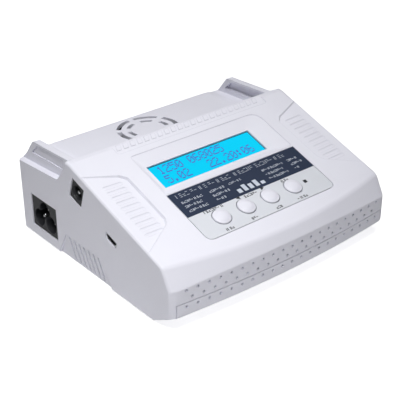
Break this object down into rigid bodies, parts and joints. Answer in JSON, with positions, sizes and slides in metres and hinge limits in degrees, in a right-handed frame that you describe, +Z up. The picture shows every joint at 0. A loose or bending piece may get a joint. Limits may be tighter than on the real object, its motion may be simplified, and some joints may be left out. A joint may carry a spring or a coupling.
{
  "type": "balance battery charger",
  "caption": "Desktop balance charger for model batteries: white sloping case with a backlit display, push buttons, cooling fan and sockets in both side walls.",
  "frame": {"origin": "on the desk, under the middle of the case", "axes": "+X to the right across the panel, -Y towards the user, +Z up"},
  "size_m": [0.14, 0.1306, 0.0564],
  "materials": {
    "white_plastic": "fine satin moulding",
    "black_plastic": "satin",
    "black_metal": "blackened sheet",
    "printed_film": "printed film, semi-gloss",
    "display": "lit cyan display",
    "diffuser": "milky",
    "circuit_board": "solder mask",
    "rubber": "matte",
    "steel": "plated",
    "gilt_brass": "gilt",
    "copper": "enamelled copper wire",
    "ferrite": "matte",
    "yellow_tape": "polyester tape",
    "capacitor_sleeve": "sleeved can",
    "aluminium": "extruded",
    "fuse_glass": "clear",
    "grey_ribbon": "flat lead",
    "red_plastic": "satin",
    "ivory_plastic": "satin"
  },
  "bodies": {
    "case": {"top_shell": "white_plastic", "bottom_shell": "white_plastic", "panel_label": "printed_film", "display_glass": "display", "display_frame": "black_metal", "display_backlight": "diffuser", "display_board": "circuit_board", "display_header": "black_plastic", "control_board": "circuit_board", "processor_chip": "black_plastic", "sounder": "black_plastic", "dc_jack_body": "black_plastic", "dc_jack_pin": "steel", "data_socket_shell": "steel", "data_socket_tongue": "black_plastic", "mains_inlet_body": "black_plastic", "mains_pin_live": "steel", "mains_pin_neutral": "steel", "mains_pin_earth": "steel", "fan_frame": "black_plastic", "fan_stator": "copper", "power_board": "circuit_board", "transformer_core": "ferrite", "transformer_winding": "yellow_tape", "mains_capacitor": "capacitor_sleeve", "output_capacitor": "capacitor_sleeve", "storage_coil": "copper", "heat_sink": "aluminium", "power_transistor": "black_plastic", "mains_fuse": "fuse_glass", "ribbon_lead": "grey_ribbon", "output_plus_body": "red_plastic", "output_minus_body": "black_plastic", "output_plus_tube": "gilt_brass", "output_minus_tube": "gilt_brass", "balance_sockets": "ivory_plastic", "balance_board": "circuit_board", "rubber_foot_1": "rubber", "case_screw_1": "steel", "rubber_foot_2": "rubber", "case_screw_2": "steel", "rubber_foot_3": "rubber", "case_screw_3": "steel", "rubber_foot_4": "rubber", "case_screw_4": "steel", "switch_stop": "steel", "switch_down": "steel", "switch_up": "steel", "switch_start": "steel"},
    "key_stop": {"button_stop": "white_plastic", "plunger_stop": "black_plastic"},
    "key_down": {"button_down": "white_plastic", "plunger_down": "black_plastic"},
    "key_up": {"button_up": "white_plastic", "plunger_up": "black_plastic"},
    "key_start": {"button_start": "white_plastic", "plunger_start": "black_plastic"},
    "rotor": {"fan_rotor": "black_plastic"}
  },
  "joints": [
    {"name": "stop_press", "type": "slide", "parent": "case", "child": "key_stop", "axis": [0, 0.3123, -0.95], "range_m": [0, 0.0006], "stiffness_N_per_m": 1500, "springref_m": -0.0003},
    {"name": "down_press", "type": "slide", "parent": "case", "child": "key_down", "axis": [0, 0.3123, -0.95], "range_m": [0, 0.0006], "stiffness_N_per_m": 1500, "springref_m": -0.0003},
    {"name": "up_press", "type": "slide", "parent": "case", "child": "key_up", "axis": [0, 0.3123, -0.95], "range_m": [0, 0.0006], "stiffness_N_per_m": 1500, "springref_m": -0.0003},
    {"name": "start_press", "type": "slide", "parent": "case", "child": "key_start", "axis": [0, 0.3123, -0.95], "range_m": [0, 0.0006], "stiffness_N_per_m": 1500, "springref_m": -0.0003},
    {"name": "fan_spin", "type": "hinge", "parent": "case", "child": "rotor", "pos_m": [-0.0041, 0.0409, 0.0463], "axis": [0, 0.0499, 0.9988], "continuous": true}
  ]
}
